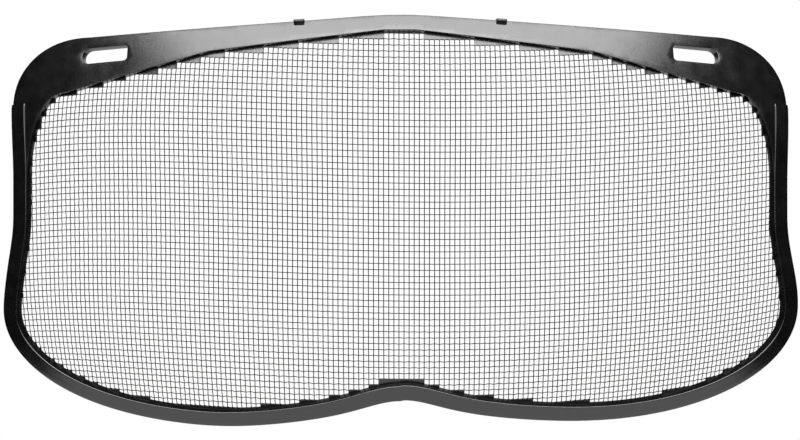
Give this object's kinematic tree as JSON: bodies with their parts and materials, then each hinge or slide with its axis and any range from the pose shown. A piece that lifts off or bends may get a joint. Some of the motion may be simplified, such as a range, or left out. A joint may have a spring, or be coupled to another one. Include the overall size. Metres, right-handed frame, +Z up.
{
  "type": "face shield",
  "caption": "Bowed wire-mesh face shield: a black moulded frame with two hanging slots, a chin notch and a woven screen.",
  "frame": {"origin": "centre of the shield's own box", "axes": "+X to the viewer's right across the shield, +Y from the bowed front towards the face, +Z up"},
  "size_m": [0.298, 0.0399, 0.15],
  "materials": {
    "moulding": "semi-gloss black moulded polyamide with a very fine grain",
    "screen_wire": "satin black coated steel wire"
  },
  "bodies": {
    "root": {"brow_band": "moulding", "edge_rim": "moulding", "mesh_border": "moulding", "catch_left": "moulding", "catch_right": "moulding", "upright_wires_01": "screen_wire", "upright_wires_02": "screen_wire", "upright_wires_03": "screen_wire", "upright_wires_04": "screen_wire", "upright_wires_05": "screen_wire", "upright_wires_06": "screen_wire", "upright_wires_07": "screen_wire", "upright_wires_08": "screen_wire", "upright_wires_09": "screen_wire", "upright_wires_10": "screen_wire", "cross_wires_01": "screen_wire", "cross_wires_02": "screen_wire", "cross_wires_03": "screen_wire", "cross_wires_04": "screen_wire", "cross_wires_05": "screen_wire", "cross_wires_06": "screen_wire"}
  },
  "joints": []
}
